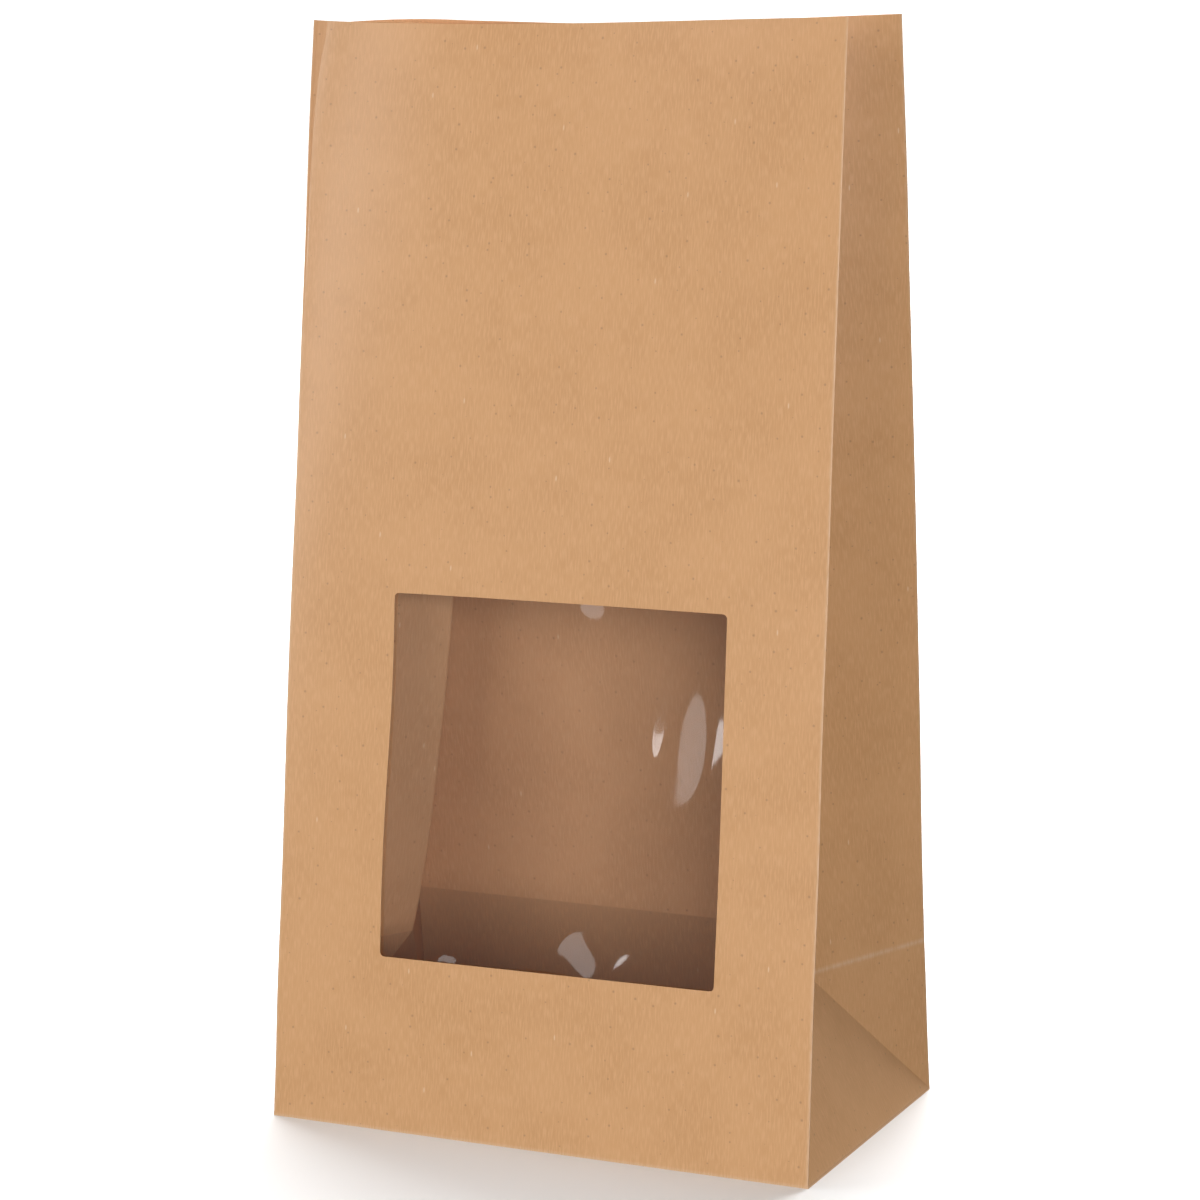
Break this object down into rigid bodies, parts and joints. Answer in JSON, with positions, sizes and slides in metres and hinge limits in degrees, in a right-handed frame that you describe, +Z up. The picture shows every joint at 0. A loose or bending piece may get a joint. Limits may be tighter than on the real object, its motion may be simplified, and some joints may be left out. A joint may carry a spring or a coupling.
{
  "type": "paper bag with window",
  "caption": "Block-bottom kraft paper bag with folded side gussets and a square clear film window, standing open for bakery or snack food.",
  "frame": {"origin": "middle of the base, on the surface that the bag stands on", "axes": "+Z up the bag to its mouth; -Y out of the windowed front wall; +X to the right seen from the front"},
  "size_m": [0.132, 0.078, 0.249],
  "materials": {
    "kraft_paper": "brown machine-glazed kraft paper, faint fibres and specks, slight sheen",
    "clear_film": "clear polypropylene film, glossy, slightly wavy"
  },
  "bodies": {
    "root": {"paper_bag": "kraft_paper", "window_film": "clear_film"}
  },
  "joints": []
}
